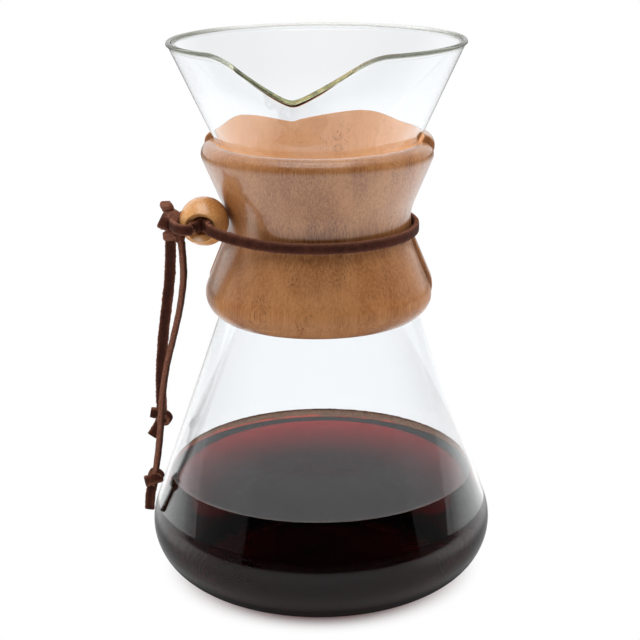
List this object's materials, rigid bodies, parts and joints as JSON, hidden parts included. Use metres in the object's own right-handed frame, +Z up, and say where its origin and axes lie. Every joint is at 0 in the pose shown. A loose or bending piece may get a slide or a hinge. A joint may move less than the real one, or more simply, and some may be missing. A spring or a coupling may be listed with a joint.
{
  "type": "pour-over coffee maker",
  "caption": "Hourglass glass carafe with a spouted funnel, a split wooden collar round its neck and a leather thong with a bead that ties it, for brewing coffee by pouring over.",
  "frame": {"origin": "centre of the base, on the table", "axes": "+Z up along the carafe's axis, -Y towards the spout, -X towards the bead and the thong's tails"},
  "size_m": [0.1385, 0.1384, 0.217],
  "materials": {
    "glass": "clear, glossy",
    "coffee": "dark liquid",
    "collar_wood": "turned, satin lacquer",
    "bead_wood": "turned, satin lacquer",
    "thong_leather": "waxed lace, rough cut edges"
  },
  "bodies": {
    "carafe": {"carafe": "glass", "coffee": "coffee"},
    "thong_loop": {"thong_rear": "thong_leather"},
    "rear_half": {"collar_rear_half": "collar_wood"},
    "front_half": {"collar_front_half": "collar_wood", "thong_front": "thong_leather", "thong_side": "thong_leather", "thong_knot": "thong_leather"},
    "bead": {"bead": "bead_wood"},
    "long_tail": {"tail_long": "thong_leather", "tail_long_knot": "thong_leather"},
    "short_tail": {"tail_short": "thong_leather", "tail_short_knot": "thong_leather"}
  },
  "joints": [
    {"name": "neck_turn", "type": "hinge", "parent": "carafe", "child": "thong_loop", "pos_m": [0, 0, 0.144], "axis": [0, 0, 1], "continuous": true},
    {"name": "front_release", "type": "slide", "parent": "thong_loop", "child": "front_half", "axis": [0, -1, 0], "range_m": [0, 0.05]},
    {"name": "rear_release", "type": "slide", "parent": "thong_loop", "child": "rear_half", "axis": [0, 1, 0], "range_m": [0, 0.05], "deforming": ["thong_rear"]},
    {"name": "bead_spin", "type": "hinge", "parent": "front_half", "child": "bead", "pos_m": [-0.04063, -0.02299, 0.14981], "axis": [0, -0.9903, -0.1392], "continuous": true},
    {"name": "tail_long_swing", "type": "hinge", "parent": "front_half", "child": "long_tail", "pos_m": [-0.05433, -0.02199, 0.14541], "axis": [0, 1, 0], "range_deg": [0, 75]},
    {"name": "tail_short_swing", "type": "hinge", "parent": "front_half", "child": "short_tail", "pos_m": [-0.05433, -0.02199, 0.14541], "axis": [0, 1, 0], "range_deg": [-3, 75]}
  ]
}
